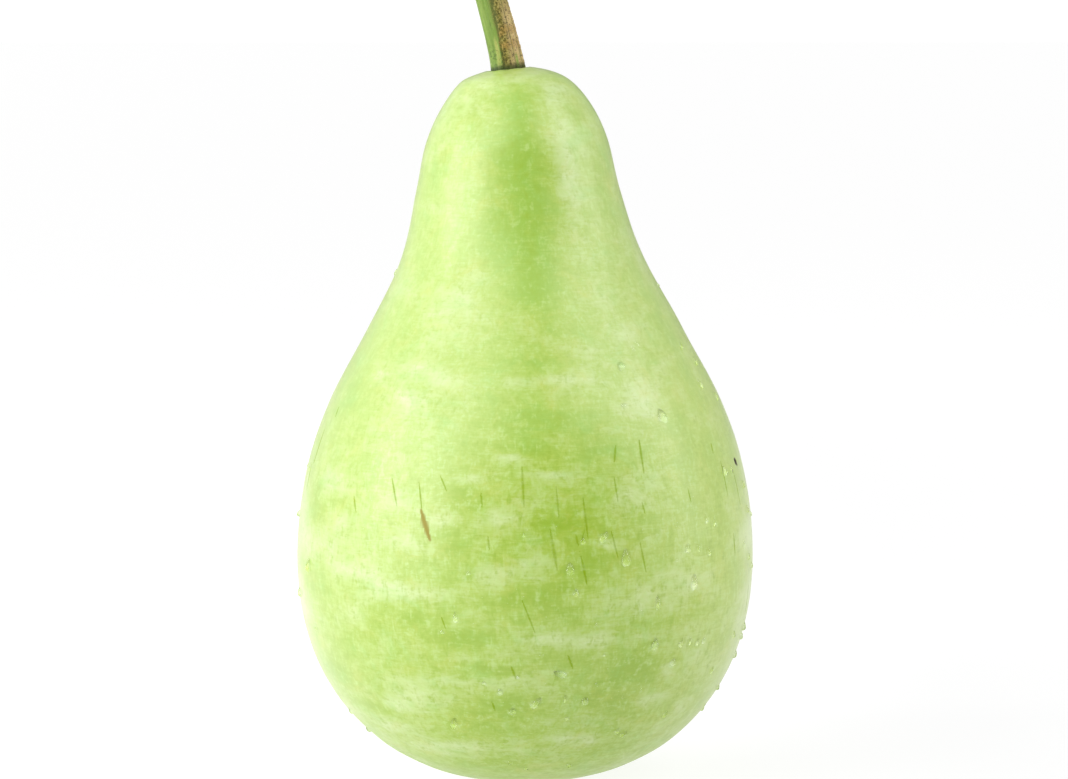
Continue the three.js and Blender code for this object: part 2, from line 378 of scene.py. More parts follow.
# Millimetres: least, most and, for heights, likeliest.
CLOUD_HEIGHT, CLOUD_HALF_WIDTH, CLOUD_HALF_HEIGHT = (6, 125, 50), (5, 14), (1.8, 6)
SCRATCH_TOP, SCRATCH_LENGTH, SCRATCH_LEAN = (35, 112), (3, 11), (-0.05, 0.2)
SCRATCH_STEPS = 4
MARK_REACH = 1.6 * MM  # how far from a scratch the skin knows of it
MARK_TAPER = 1.6  # times further off at its ends, so that it thins out there
AXIS_COLUMN = 524.5  # the fruit's axis in the camera's frame

draw = random.Random(7)
skin_shape = BVHTree.FromObject(fruit, bpy.context.evaluated_depsgraph_get())


def seen(across, down):
    """The point of the skin and its normal at a place in the camera's frame. A place just off the
    edge is brought in until it meets the skin."""
    turn = (-camera_way).to_track_quat("-Z", "Y")
    slope = SENSOR_MM / LENS_MM / VIEW_WIDTH
    while True:
        way = turn @ Vector(((across - VIEW_WIDTH / 2) * slope, (VIEW_HEIGHT / 2 - down) * slope, -1))
        point, normal, _, _ = skin_shape.ray_cast(camera.location, way)
        if point:
            return point, normal
        across += math.copysign(0.5, AXIS_COLUMN - across)


def round_at(turn, height):
    """The point of the skin and its normal at a turn round from the camera and a height."""
    way = Vector((math.sin(turn), -math.cos(turn), 0))
    point, normal, _, _ = skin_shape.ray_cast(way * GIRTH_RADIUS * 2 + Vector((0, 0, height)), -way)
    return point, normal


def unseen_turn():
    """A random way round to the unseen sides."""
    return draw.uniform(UNSEEN_FROM, math.tau - UNSEEN_FROM)


def set_by_hand(clouds):
    """Clouds listed in the camera's frame, laid on the skin."""
    return [(seen(across, down), width * MM, height * MM) for across, down, width, height in clouds]


def cloud(clouds, strength):
    """How much of these clouds each point of the skin has, 0 to 1 or a little over."""
    amount = np.zeros(len(skin_points))
    for (point, normal), half_width, half_height in clouds:
        east = Vector((0, 0, 1)).cross(normal).normalized()
        north = normal.cross(east)
        away = skin_points - np.array(point)
        near = (away @ np.array(east) / half_width) ** 2 + (away @ np.array(north) / half_height) ** 2
        facing = np.abs(away @ np.array(normal)) < 3 * half_width
        amount += strength * np.exp(-near) * facing
    return amount


def give(mesh, name, kind, values):
    """Stores a value for each point of a mesh, for its material."""
    mesh.attributes.new(name, kind, "POINT").data.foreach_set(
        "value" if kind == "FLOAT" else "vector", np.asarray(values, dtype=np.float32).ravel())


def offsets_from(lines, faintest=1.0):
    """For each point of the skin, the vector to it from the nearest point of these lines, longer
    towards their ends, so that they taper, and longer for the fainter ones. Beyond reach it is a
    constant far one, so that no line shows halfway between two others."""
    nearest = np.full((len(skin_points), 3), 3 * MARK_REACH)
    distance = np.full(len(skin_points), MARK_REACH)
    for line in lines:
        faint = draw.uniform(1.0, faintest)
        for i, (start, end) in enumerate(zip(line, line[1:])):
            start, along = np.array(start), np.array(end - start)
            share = np.clip((skin_points - start) @ along / (along @ along), 0, 1)
            away = skin_points - start - share[:, None] * along
            length = np.linalg.norm(away, axis=1)
            closer = length < distance
            from_middle = np.abs(2 * (i + share) / (len(line) - 1) - 1)
            tapered = away * faint * (1 + MARK_TAPER * from_middle[:, None] ** 3)
            nearest[closer], distance[closer] = tapered[closer], length[closer]
    return nearest


skin_points = np.empty(len(fruit.data.vertices) * 3)
fruit.data.vertices.foreach_get("co", skin_points)
skin_points = skin_points.reshape(-1, 3)

pale_and_sheen_clouds, deep_and_shade_clouds = set_by_hand(PALE_AND_SHEEN), set_by_hand(DEEP_AND_SHADE)
for clouds, count in ((pale_and_sheen_clouds, UNSEEN_PALE), (deep_and_shade_clouds, UNSEEN_DEEP)):
    for _ in range(count):
        place = round_at(unseen_turn(), draw.triangular(*CLOUD_HEIGHT) * MM)
        size = draw.uniform(*CLOUD_HALF_WIDTH) * MM, draw.uniform(*CLOUD_HALF_HEIGHT) * MM
        clouds.append((place, *size))

scratches = []
for x0, y0, x1, y1 in SCRATCHES:
    steps = 2 + abs(y1 - y0) // 6
    scratches.append([seen(x0 + (x1 - x0) * i / steps, y0 + (y1 - y0) * i / steps)[0]
                      for i in range(steps + 1)])
for _ in range(UNSEEN_SCRATCHES):
    turn, top = unseen_turn(), draw.uniform(*SCRATCH_TOP) * MM
    length, lean = draw.uniform(*SCRATCH_LENGTH) * MM, draw.uniform(*SCRATCH_LEAN)
    falls = [length * i / SCRATCH_STEPS for i in range(SCRATCH_STEPS + 1)]
    scratches.append([round_at(turn + lean * fall / GIRTH_RADIUS, top - fall)[0] for fall in falls])

give(fruit.data, "pale", "FLOAT", cloud(pale_and_sheen_clouds, PALE_AND_SHEEN_STRENGTH))
give(fruit.data, "deep", "FLOAT", cloud(deep_and_shade_clouds, DEEP_AND_SHADE_STRENGTH))
give(fruit.data, "scratch", "FLOAT_VECTOR", offsets_from(scratches, FAINTEST_SCRATCH))
give(fruit.data, "scar", "FLOAT_VECTOR", offsets_from([[seen(*place)[0] for place in SCAR]]))
give(fruit.data, "chip", "FLOAT", cloud(set_by_hand(CHIPS), CHIP_STRENGTH))

# Rind: the living skin of a young gourd, green through a thin wax. The wax gives a soft broad
# sheen and the flesh under it a little depth. Growth rubs and stretches it round the fruit, so
# its clouds are drawn out sideways and fine lines run round it.
RIND_GREEN, RIND_PALE, RIND_DEEP = colour("#96B03C"), colour("#B4C588"), colour("#83A30A")
RIND_LIGHT, RIND_SHADE = colour("#A6C06A"), colour("#85A20E")
RIND_WARM, RIND_COOL = colour("#A6B03C"), colour("#86B24A")
RIND_SUNNED = colour("#A6BA36")  # the side that faced the sun
SCRATCH_GREEN, CHIP_BROWN = colour("#6A7C34"), colour("#332C18")
SCAR_BROWN, SCAR_EDGE = colour("#8E8440"), colour("#8E9440")
BLOSSOM_TAN = colour("#8A7A4C")
CLOUD_WIDTH, CLOUD_FLAT = 24, 2.0  # millimetres, and how many times wider than tall
TUFT_WIDTH, TUFT_FLAT = 6, 1.2  # the feathering of the clouds
HUE_WIDTH, HUE_FLAT = 11, 1.2  # patches of a yellower and a bluer green
SUN_SPAN = (22 * MM, 60 * MM)  # from the middle out to the sunned side
PATCHY_SPAN = (-60 * MM, 60 * MM)  # across, over which the clouds grow plainer
LINE_WIDTH, LINE_FLAT = 6, 6  # the fine lines round the fruit
FIBRE_WIDTH, FIBRE_FLAT = 1.7, 0.3  # and the faint ones up it
GRAIN_WIDTH = 2.6
BLOOM_FADE = (80 * MM, 120 * MM)  # heights over which the skin turns smoother, up to the neck
WAX_RISE = (4 * MM, 40 * MM)  # and over which its wax, thin where it lies, comes to its full weight
DOT_SPACING, DOT_RADIUS = 2.6 * MM, 0.22 * MM  # the pores
SCRATCH_HALF, SCAR_HALF = 0.56 * MM, 1.1 * MM
SCRATCH_STRENGTH = 0.34
BLOSSOM_MIDDLE, BLOSSOM_EDGE = (0, 0, 1.5 * MM), (5.5 * MM, 3 * MM)  # its tan fades in over the edge

rind.use_nodes = True
tree = rind.node_tree
wax = tree.nodes["Principled BSDF"]
spot = add("ShaderNodeTexCoord")["Object"]


def stretched(spot, width_mm, flat, detail, rough, bent=0.0):
    """Noise whose features are so wide, this many times flatter, and bent out of line by so much."""
    laid = add("ShaderNodeMapping", {"Vector": spot, "Scale": (1, 1, flat)})[0]
    return add("ShaderNodeTexNoise", {"Vector": laid, "Scale": 1000 / width_mm, "Detail": detail,
                                      "Roughness": rough, "Distortion": bent})["Fac"]


def over(below, above, share):
    """One colour laid over another by a share."""
    return add("ShaderNodeMix", {"Factor": share, "A": below, "B": above}, data_type="RGBA")["Result"]


def line_mask(name, half, uneven):
    """1 on a stored line and 0 off it, with a ragged edge."""
    away = add("ShaderNodeAttribute", attribute_name=name)["Vector"]
    away = add("ShaderNodeVectorMath", {0: away}, operation="LENGTH")["Value"]
    ragged = add("ShaderNodeMath", {0: uneven, 1: -half, 2: away}, operation="MULTIPLY_ADD")[0]
    return ramp(ragged, half * 1.1, -half * 0.6)


clouds = stretched(spot, CLOUD_WIDTH, CLOUD_FLAT, 3.0, 0.7, 0.6)
tufts = stretched(spot, TUFT_WIDTH, TUFT_FLAT, 3.0, 0.8, 0.8)
hues = stretched(spot, HUE_WIDTH, HUE_FLAT, 4.0, 0.75, 0.6)
lines = stretched(spot, LINE_WIDTH, LINE_FLAT, 2.0, 0.6, 1.2)
fibres = stretched(spot, FIBRE_WIDTH, FIBRE_FLAT, 2.0, 0.6, 1.2)
grain = stretched(spot, GRAIN_WIDTH, 1.0, 2.0, 0.8)

# How pale the skin is, round 0: the stored clouds and blotches, with the painted sheen and shade on
# the neck, feathered by the noises.
pale = add("ShaderNodeAttribute", attribute_name="pale")["Fac"]
blotched = add("ShaderNodeAttribute", attribute_name="deep")["Fac"]
paleness = add("ShaderNodeMath", {0: pale, 1: blotched}, operation="SUBTRACT")[0]
height = add("ShaderNodeSeparateXYZ", {0: spot})["Z"]
east = add("ShaderNodeSeparateXYZ", {0: spot})["X"]
up_neck = ramp(height, *BLOOM_FADE, 1.0, 0.85)
patchier = ramp(east, *PATCHY_SPAN, 0.9, 1.35)
patchier = add("ShaderNodeMath", {0: patchier, 1: up_neck}, operation="MULTIPLY")[0]
for noise, strength in ((clouds, 1.5), (tufts, 1.3), (lines, 0.5), (fibres, 0.2)):
    shift = add("ShaderNodeMath", {0: noise, 1: 0.5}, operation="SUBTRACT")[0]
    shift = add("ShaderNodeMath", {0: shift, 1: patchier}, operation="MULTIPLY")[0]
    paleness = add("ShaderNodeMath", {0: shift, 1: strength, 2: paleness}, operation="MULTIPLY_ADD")[0]
skin = over(RIND_GREEN, RIND_PALE, ramp(paleness, -0.2, 1.1))
deep = over(RIND_DEEP, RIND_COOL, ramp(height, *BLOOM_FADE, 0.0, 0.35))
skin = over(skin, deep, ramp(paleness, 0.2, -0.8, 0.0, up_neck))
skin = over(skin, RIND_WARM, ramp(hues, 0.5, 0.75, 0.0, 0.5))
skin = over(skin, RIND_COOL, ramp(hues, 0.5, 0.25, 0.0, 0.5))
skin = over(skin, RIND_SUNNED, ramp(east, *SUN_SPAN, 0.0, 0.35))
# Its bloom of wax is uneven in the small, up the fruit more than round it.
bloom = add("ShaderNodeMath", {0: fibres, 1: 0.7, 2: grain}, operation="MULTIPLY_ADD")[0]
bloom = add("ShaderNodeMath", {0: lines, 1: 0.4, 2: bloom}, operation="MULTIPLY_ADD")[0]
strength = ramp(height, *BLOOM_FADE, 0.85, 0.65)
skin = over(skin, RIND_LIGHT, ramp(bloom, 1.02, 1.45, 0.0, strength))
skin = over(skin, RIND_SHADE, ramp(bloom, 1.08, 0.65, 0.0, strength))
dots = add("ShaderNodeTexVoronoi", {"Vector": spot, "Scale": 1 / DOT_SPACING})["Distance"]
dots = ramp(dots, DOT_RADIUS / DOT_SPACING, 0.3 * DOT_RADIUS / DOT_SPACING, 0.0,
            ramp(height, *BLOOM_FADE, 0.6, 0.05))
skin = over(skin, RIND_PALE, dots)

scratch = line_mask("scratch", SCRATCH_HALF, fibres)
scar = line_mask("scar", SCAR_HALF, 0.5)
chip = add("ShaderNodeAttribute", attribute_name="chip")["Fac"]
chip = add("ShaderNodeMath", {0: chip, 1: grain}, operation="ADD")[0]
scratched = add("ShaderNodeMath", {0: scratch, 1: SCRATCH_STRENGTH}, operation="MULTIPLY")[0]
skin = over(skin, SCRATCH_GREEN, scratched)
skin = over(skin, SCAR_EDGE, ramp(scar, 0.0, 0.5, 0.0, 0.7))
skin = over(skin, SCAR_BROWN, ramp(scar, 0.3, 1.0))
chip = ramp(chip, 0.8, 1.1)
skin = over(skin, CHIP_BROWN, chip)
from_blossom = add("ShaderNodeVectorMath", {0: spot, 1: BLOSSOM_MIDDLE}, operation="DISTANCE")["Value"]
skin = over(skin, BLOSSOM_TAN, ramp(from_blossom, *BLOSSOM_EDGE))
tree.links.new(skin, wax.inputs["Base Color"])

tree.links.new(ramp(grain, 0.3, 0.7, 0.38, 0.46), wax.inputs["Roughness"])
dull = add("ShaderNodeMath", {0: scratch, 1: scar}, operation="MAXIMUM")[0]
dull = add("ShaderNodeMath", {0: dull, 1: chip}, operation="MAXIMUM")[0]
waxed = ramp(height, *WAX_RISE, 0.4, 1.0)
tree.links.new(ramp(dull, 0.0, 1.0, waxed, 0.0), wax.inputs["Coat Weight"])
gloss = add("ShaderNodeMath", {0: waxed, 1: 0.5}, operation="MULTIPLY")[0]
tree.links.new(ramp(dull, 0.0, 1.0, gloss, 0.05), wax.inputs["Specular IOR Level"])
wax.inputs["Coat Roughness"].default_value = 0.35
wax.inputs["Subsurface Weight"].default_value = 0.15
wax.inputs["Subsurface Radius"].default_value = (1.0, 1.0, 0.4)
wax.inputs["Subsurface Scale"].default_value = 3 * MM
relief = add("ShaderNodeMath", {0: grain, 1: lines}, operation="ADD")[0]
relief = add("ShaderNodeMath", {0: scratch, 1: -0.4, 2: relief}, operation="MULTIPLY_ADD")[0]
tree.links.new(add("ShaderNodeBump", {
    "Height": relief, "Distance": 0.05 * MM, "Strength": 0.4})[0], wax.inputs["Normal"])

# ---- Stalk ----
# The stem that the gourd hung by, cut across with a knife. It has five soft ribs with grooves
# between them, is smooth and green where it was shaded, and brown, corky and speckled on the side
# that faced the sun. It grows out of the crown, so its foot is sunk a little way into the seat.
STALK_RADIUS = 4.4 * MM
STALK_LENGTH = 46 * MM
# Shares of the length and of the radius, from the foot up to the knife cut.
STALK_SIDE = [
    (0, 1.11), (0.05, 1.09), (0.1, 1.05), (0.2, 1.02), (0.35, 0.99), (0.55, 0.95), (0.8, 0.94),
    (0.94, 0.99), (0.985, 1), (0.997, 0.97),
]
# The cut face, as radius and height over the cut in millimetres: the soft pith has shrunk.
CUT_FACE = [(3.9, -0.02), (3.3, -0.12), (2.1, -0.15), (1.5, -0.3), (1.1, -0.9), (0, -1.2)]
FOOT_SUNK = 0.5 * MM
RIB_COUNT, RIB_SHARE = 5, 0.05
# Grooves: degrees round at the foot, depth and half width in millimetres.
GROOVES = [(-101, 0.28, 0.45), (-58, 0.3, 0.4), (-21, 0.3, 0.4), (34, 0.4, 0.5), (98, 0.42, 0.6),
           (172, 0.34, 0.5)]
GROOVE_TWIST = math.radians(26)  # how far they wind round by the cut
STALK_LEAN = Vector((-11.6, 3, 0)) * MM
STALK_HEEL, STALK_BEND = 0.19, 0.62
CUT_SLANT = 0.16
SEAT_DEPTH, TOUCH_GAP = 1.5 * MM, 0.3 * MM
CORK_MIDDLE, CORK_HALF = math.radians(-48), math.radians(56)  # the face that turned corky
STRAND_RISE, STRAND_WIDTH, STRAND_FLAT = 0.16 * MM, 0.9 * MM, 0.06
CORK_RISE, CORK_GRAIN = 0.15 * MM, 0.8 * MM
STALK_RINGS, STALK_SEGMENTS = 360, 180
STALK_WELD = 0.005 * MM

off_seat = Vector((-CROWN_TIP, 0, 1)).normalized()
stalk_foot = NECK_DRIFT + CROWN_DRIFT + Vector((0, 0, FRUIT_HEIGHT - SEAT_DEPTH)) + off_seat * TOUCH_GAP
stalk_climb = math.sqrt(STALK_LENGTH ** 2 - STALK_LEAN.length_squared)
stalk_cut = stalk_foot + STALK_LEAN + Vector((0, 0, stalk_climb))
stalk_line = bpy.data.objects.new("stalk_line", bpy.data.curves.new("stalk_line", "CURVE"))
stalk_line.data.dimensions = "3D"
bend = stalk_line.data.splines.new("BEZIER")
bend.bezier_points.add(1)
bend.resolution_u = 48
for end, place in zip(bend.bezier_points, (stalk_foot, stalk_cut)):
    end.handle_left_type = end.handle_right_type = "FREE"
    end.co = end.handle_left = end.handle_right = place
bend.bezier_points[0].handle_right = stalk_foot + off_seat * STALK_HEEL * STALK_LENGTH
bend.bezier_points[1].handle_left = stalk_foot.lerp(stalk_cut, STALK_BEND)
scene.collection.objects.link(stalk_line)
stalk_outline = outline("stalk_outline", [
    (0, -FOOT_SUNK), (STALK_RADIUS, -FOOT_SUNK), (STALK_RADIUS * 1.08, -FOOT_SUNK * 0.9),
    *[(r * STALK_RADIUS, s * STALK_LENGTH) for s, r in STALK_SIDE],
    *[(r * MM, STALK_LENGTH + h * MM) for r, h in CUT_FACE]])

stem = bpy.data.materials.new("green_and_corky_stem")
stalk_sizes = {"Outline": ("Object", stalk_outline), "Line": ("Object", stalk_line),
               "Rings": ("Int", STALK_RINGS), "Segments": ("Int", STALK_SEGMENTS),
               "Length": ("Float", STALK_LENGTH), "Radius": ("Float", STALK_RADIUS),
               "Rib Count": ("Int", RIB_COUNT), "Rib Share": ("Float", RIB_SHARE),
               "Twist": ("Float", GROOVE_TWIST), "Cut Slant": ("Float", CUT_SLANT),
               "Cork Middle": ("Float", CORK_MIDDLE), "Cork Half": ("Float", CORK_HALF),
               "Strand Rise": ("Float", 2 * STRAND_RISE), "Strand Width": ("Float", STRAND_WIDTH),
               "Cork Rise": ("Float", CORK_RISE), "Cork Grain": ("Float", CORK_GRAIN),
               "Material": ("Material", stem)}
tree, given = new_tree("stalk", stalk_sizes)
grid, angle, radius, along = turned_grid()
share = add("ShaderNodeMath", {0: along, 1: given["Length"]}, operation="DIVIDE", use_clamp=True)[0]
fullness = add("ShaderNodeMath", {0: radius, 1: given["Radius"]}, operation="DIVIDE")[0]
aside, behind = round_axis(angle, radius)
straight = add("ShaderNodeCombineXYZ", {"X": aside, "Y": behind, "Z": along})[0]


def turned_from(start):
    """The angle of each point from a line that starts at this angle and winds with the grooves."""
    wound = add("ShaderNodeMath", {0: share, 1: given["Twist"], 2: start}, operation="MULTIPLY_ADD")[0]
    away = add("ShaderNodeMath", {0: angle, 1: wound}, operation="SUBTRACT")[0]
    return add("ShaderNodeMath", {0: away, 1: math.pi, 2: -math.pi}, operation="WRAP")[0]


sunk = 0.0
for degrees, depth, half in GROOVES:
    off = turned_from(math.radians(degrees))
    widths = add("ShaderNodeMath", {0: off, 1: STALK_RADIUS / (half * MM)}, operation="MULTIPLY")[0]
    steep = add("ShaderNodeMath", {0: widths, 1: widths}, operation="MULTIPLY")[0]
    steep = add("ShaderNodeMath", {0: steep, 1: -1.0}, operation="MULTIPLY")[0]
    groove = add("ShaderNodeMath", {0: steep}, operation="EXPONENT")[0]
    sunk = add("ShaderNodeMath", {0: groove, 1: depth * MM, 2: sunk}, operation="MULTIPLY_ADD")[0]

# -1 at the left edge of the corky face, 0 at its middle, 1 at its right edge.
turn = add("ShaderNodeMath", {0: turned_from(given["Cork Middle"]), 1: given["Cork Half"]},
           operation="DIVIDE")[0]
cork = ramp(add("ShaderNodeMath", {0: turn}, operation="ABSOLUTE")[0], 1.0, 0.8)
drawn_out = add("ShaderNodeVectorMath", {0: straight, 1: (1, 1, STRAND_FLAT)}, operation="MULTIPLY")[0]
strands = unevenness(drawn_out, given["Strand Width"], 2.0)["Fac"]
strands = add("ShaderNodeMath", {0: strands, 1: 0.5}, operation="SUBTRACT")[0]
strands = add("ShaderNodeMath", {0: strands, 1: given["Strand Rise"]}, operation="MULTIPLY")[0]
warts = unevenness(straight, given["Cork Grain"], 3.0, 0.6)["Fac"]
warts = ramp(warts, 0.42, 0.72, 0.0, given["Cork Rise"])
relief = add("ShaderNodeMath", {0: warts, 1: cork, 2: strands}, operation="MULTIPLY_ADD")[0]
relief = add("ShaderNodeMath", {0: relief, 1: sunk}, operation="SUBTRACT")[0]

corner_angle = add("ShaderNodeMath", {0: angle, 1: math.pi / 2 / RIB_COUNT}, operation="ADD")[0]
ribbed = wave(corner_angle, RIB_COUNT, given["Rib Share"])
reach_out = add("ShaderNodeMath", {0: ribbed, 1: radius, 2: radius}, operation="MULTIPLY_ADD")[0]
reach_out = add("ShaderNodeMath", {0: relief, 1: fullness, 2: reach_out}, operation="MULTIPLY_ADD")[0]
across, back = round_axis(angle, reach_out)
near_cut = ramp(share, 0.8, 1.0)
slant = add("ShaderNodeMath", {0: across, 1: near_cut}, operation="MULTIPLY")[0]
slant = add("ShaderNodeMath", {0: slant, 1: given["Cut Slant"]}, operation="MULTIPLY")[0]
on_line = add("ShaderNodeMath", {0: share, 1: given["Length"]}, operation="MULTIPLY")[0]
past_end = add("ShaderNodeMath", {0: along, 1: on_line}, operation="SUBTRACT")[0]
ahead = add("ShaderNodeMath", {0: slant, 1: past_end}, operation="ADD")[0]

line = add("GeometryNodeObjectInfo", {"Object": given["Line"]})["Geometry"]
sample = add("GeometryNodeSampleCurve", {"Curves": line, "Factor": share}, mode="FACTOR")
tilted = add("ShaderNodeVectorMath", {0: (1, 0, 0), 1: sample["Tangent"]}, operation="PROJECT")[0]
sideways = add("ShaderNodeVectorMath", {0: (1, 0, 0), 1: tilted}, operation="SUBTRACT")[0]
sideways = add("ShaderNodeVectorMath", {0: sideways}, operation="NORMALIZE")[0]
onward = sample["Tangent"]
backwards = add("ShaderNodeVectorMath", {0: onward, 1: sideways}, operation="CROSS_PRODUCT")[0]
place = sample["Position"]
for direction, size in ((sideways, across), (backwards, back), (onward, ahead)):
    step = add("ShaderNodeVectorMath", {0: direction, "Scale": size}, operation="SCALE")[0]
    place = add("ShaderNodeVectorMath", {0: place, 1: step}, operation="ADD")[0]
for name, kind, value in (("straight", "FLOAT_VECTOR", straight), ("turn", "FLOAT", turn),
                          ("sunk", "FLOAT", sunk)):
    grid = add("GeometryNodeStoreNamedAttribute", {
        "Geometry": grid, "Name": name, "Value": value}, data_type=kind, domain="POINT")[0]
shaped = add("GeometryNodeSetPosition", {"Geometry": grid, "Position": place})[0]
closed = add("GeometryNodeMergeByDistance", {"Geometry": shaped, "Distance": STALK_WELD})[0]
stalk = grow("gourd_stalk", closed, stalk_sizes)
bpy.data.objects.remove(stalk_outline)
bpy.data.objects.remove(stalk_line)

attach(stalk, "root")
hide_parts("stalk")

# Stem: green bark with pale strands on one side, and on the other cork that split and browned in the
# sun, dull and speckled, olive by the green and tan away from it, with rusty bands where it healed.
# Its tan, to the right as the camera sees it, is partly a painted highlight.
# The grooves and the foot are darkest, with painted shade, and so is the band along the groove
# between the green and the cork. The cut shows a pale ring of wood round a hollow brown pith.
STEM_GREEN, STEM_PALE, STEM_SHADE = colour("#6B8534"), colour("#879A4B"), colour("#3F4E1E")
STREAK_YELLOW = colour("#A3A658")  # a strand that runs up the green beside the cork
# Partly painted shade: the band follows the groove between the green and the cork.
BAND_GREEN_AND_SHADE = colour("#5A5C28")  # between the green and the cork
CORK_OLIVE, CORK_TAN_AND_HIGHLIGHT, CORK_DARK = colour("#6B6426"), colour("#BDA574"), colour("#2E2A12")
CORK_LIGHT, CORK_RUST = colour("#9C9052"), colour("#967238")
FOOT_SHADE, PITH_BROWN, WOOD_CREAM = colour("#2F3D16"), colour("#8C7B4E"), colour("#CDC794")
STRAND_PATTERN, SPECK_PATTERN, BLOT_PATTERN = 0.7, 0.62, 4.5  # millimetres across
RUST_BANDS = [(11.6, 1.3), (7.6, 0.9)]  # height over the foot and half height, in millimetres
RUST_RAGGED = 5  # millimetres that they wander up and down
# Turns are 0 at the middle of the corky face and 1 at its edges; spans of height fade in downwards.
STREAK_TURN, STREAK_EDGE, STREAK_SPAN = -1.24, (0.2, 0.04), (12 * MM, 8 * MM)
SPECKLED_SPAN, TAN_AND_HIGHLIGHT_SPAN = (11 * MM, 4 * MM), (21 * MM, 14 * MM)
BAND_TURN, BAND_TURN_LOW, BAND_TURN_SPAN = -0.9, -1.02, (9 * MM, 14 * MM)
BAND_HALF, BAND_HALF_LOW, BAND_HALF_SPAN = 0.24, 0.03, (10 * MM, 15 * MM)
SLIVER_EDGE, SLIVER_SPAN = (0.14, 0.06), (5.5 * MM, 4 * MM)
GROOVE_SHADE_SPAN, FOOT_SHADE_SPAN = (0.1 * MM, 0.4 * MM), (1.6 * MM, 0.1 * MM)
PITH_EDGE, WOOD_EDGE, CUT_EDGE = (0.9 * MM, 1.6 * MM), (3.2 * MM, 3.9 * MM), (4.15 * MM, 3.95 * MM)
CUT_SPAN = (STALK_LENGTH - 1.6 * MM, STALK_LENGTH - 1.3 * MM)

stem.use_nodes = True
tree = stem.node_tree
bark = tree.nodes["Principled BSDF"]
straight = add("ShaderNodeAttribute", attribute_name="straight")["Vector"]
turn = add("ShaderNodeAttribute", attribute_name="turn")["Fac"]
sunk = add("ShaderNodeAttribute", attribute_name="sunk")["Fac"]
strands = stretched(straight, STRAND_PATTERN, STRAND_FLAT, 2.0, 0.5)
specks = stretched(straight, SPECK_PATTERN, 0.8, 3.0, 0.8)
blots = stretched(straight, BLOT_PATTERN, 0.7, 3.0, 0.6)
over_foot = add("ShaderNodeSeparateXYZ", {0: straight})["Z"]

green = over(STEM_GREEN, STEM_PALE, ramp(strands, 0.5, 0.7, 0.0, 0.6))
green = over(green, STEM_SHADE, ramp(strands, 0.45, 0.3, 0.0, 0.5))
streak = add("ShaderNodeMath", {0: turn, 1: -STREAK_TURN}, operation="ADD")[0]
streak = add("ShaderNodeMath", {0: streak}, operation="ABSOLUTE")[0]
broken = ramp(over_foot, *STREAK_SPAN, 0.0, ramp(strands, 0.42, 0.56, 0.15, 0.8))
streak = add("ShaderNodeMath", {0: ramp(streak, *STREAK_EDGE), 1: broken}, operation="MULTIPLY")[0]
green = over(green, STREAK_YELLOW, streak)
speckled = ramp(over_foot, *SPECKLED_SPAN, 0.15, 0.8)
green = over(green, STEM_PALE, ramp(specks, 0.52, 0.62, 0.0, speckled))
green = over(green, STEM_SHADE, ramp(specks, 0.47, 0.37, 0.0, speckled))

ragged_turn = add("ShaderNodeMath", {0: blots, 1: 0.5, 2: turn}, operation="MULTIPLY_ADD")[0]
# Tan towards the right of the cork face: partly its own colour, partly painted highlight.
tan_and_highlight = add("ShaderNodeMath", {0: ramp(ragged_turn, -0.45, 0.1),
                                1: ramp(over_foot, *TAN_AND_HIGHLIGHT_SPAN, 0.35, 1.0)}, operation="MULTIPLY")[0]
brown = over(CORK_OLIVE, CORK_TAN_AND_HIGHLIGHT, tan_and_highlight)
brown = over(brown, CORK_LIGHT, ramp(specks, 0.5, 0.6, 0.0, 0.8))
rust = 0.0
ragged_height = add("ShaderNodeMath", {0: blots, 1: RUST_RAGGED * MM, 2: over_foot},
                    operation="MULTIPLY_ADD")[0]
for height, half in RUST_BANDS:
    middle = (height + RUST_RAGGED / 2) * MM
    off = add("ShaderNodeMath", {0: ragged_height, 1: middle}, operation="SUBTRACT")[0]
    off = add("ShaderNodeMath", {0: off}, operation="ABSOLUTE")[0]
    rust = add("ShaderNodeMath", {0: rust, 1: ramp(off, 1.6 * half * MM, 0.4 * half * MM)},
               operation="MAXIMUM")[0]
rust = add("ShaderNodeMath", {0: rust, 1: ramp(specks, 0.4, 0.55, 0.1, 0.5)}, operation="MULTIPLY")[0]
brown = over(brown, CORK_RUST, rust)
brown = over(brown, CORK_DARK, ramp(specks, 0.5, 0.39, 0.0, 0.8))

# The green meets the cork in a dark band along the groove, broad above and no more than the groove
# below: partly its own speckled dark olive and partly painted groove shade.
band_half = ramp(over_foot, *BAND_HALF_SPAN, BAND_HALF_LOW, BAND_HALF)
band_turn = ramp(over_foot, *BAND_TURN_SPAN, BAND_TURN_LOW, BAND_TURN)
off_band = add("ShaderNodeMath", {0: turn, 1: band_turn}, operation="SUBTRACT")[0]
ragged = add("ShaderNodeMath", {0: specks, 1: 0.5}, operation="SUBTRACT")[0]
off_band = add("ShaderNodeMath", {0: ragged, 1: 0.5, 2: off_band}, operation="MULTIPLY_ADD")[0]
past_band = add("ShaderNodeMath", {0: off_band, 1: band_half}, operation="DIVIDE")[0]
band = over(BAND_GREEN_AND_SHADE, CORK_LIGHT, ramp(specks, 0.5, 0.62, 0.0, 0.5))
band = over(band, CORK_DARK, ramp(specks, 0.48, 0.38, 0.0, 0.6))
side = over(green, band, ramp(past_band, -1.6, -0.1))
cork = add("ShaderNodeMath", {
    0: ramp(past_band, 0.1, 1.2), 1: ramp(ragged_turn, 1.35, 1.15)}, operation="MULTIPLY")[0]
side = over(side, brown, cork)
side = over(side, green, ramp(turn, 1.0, 1.15))
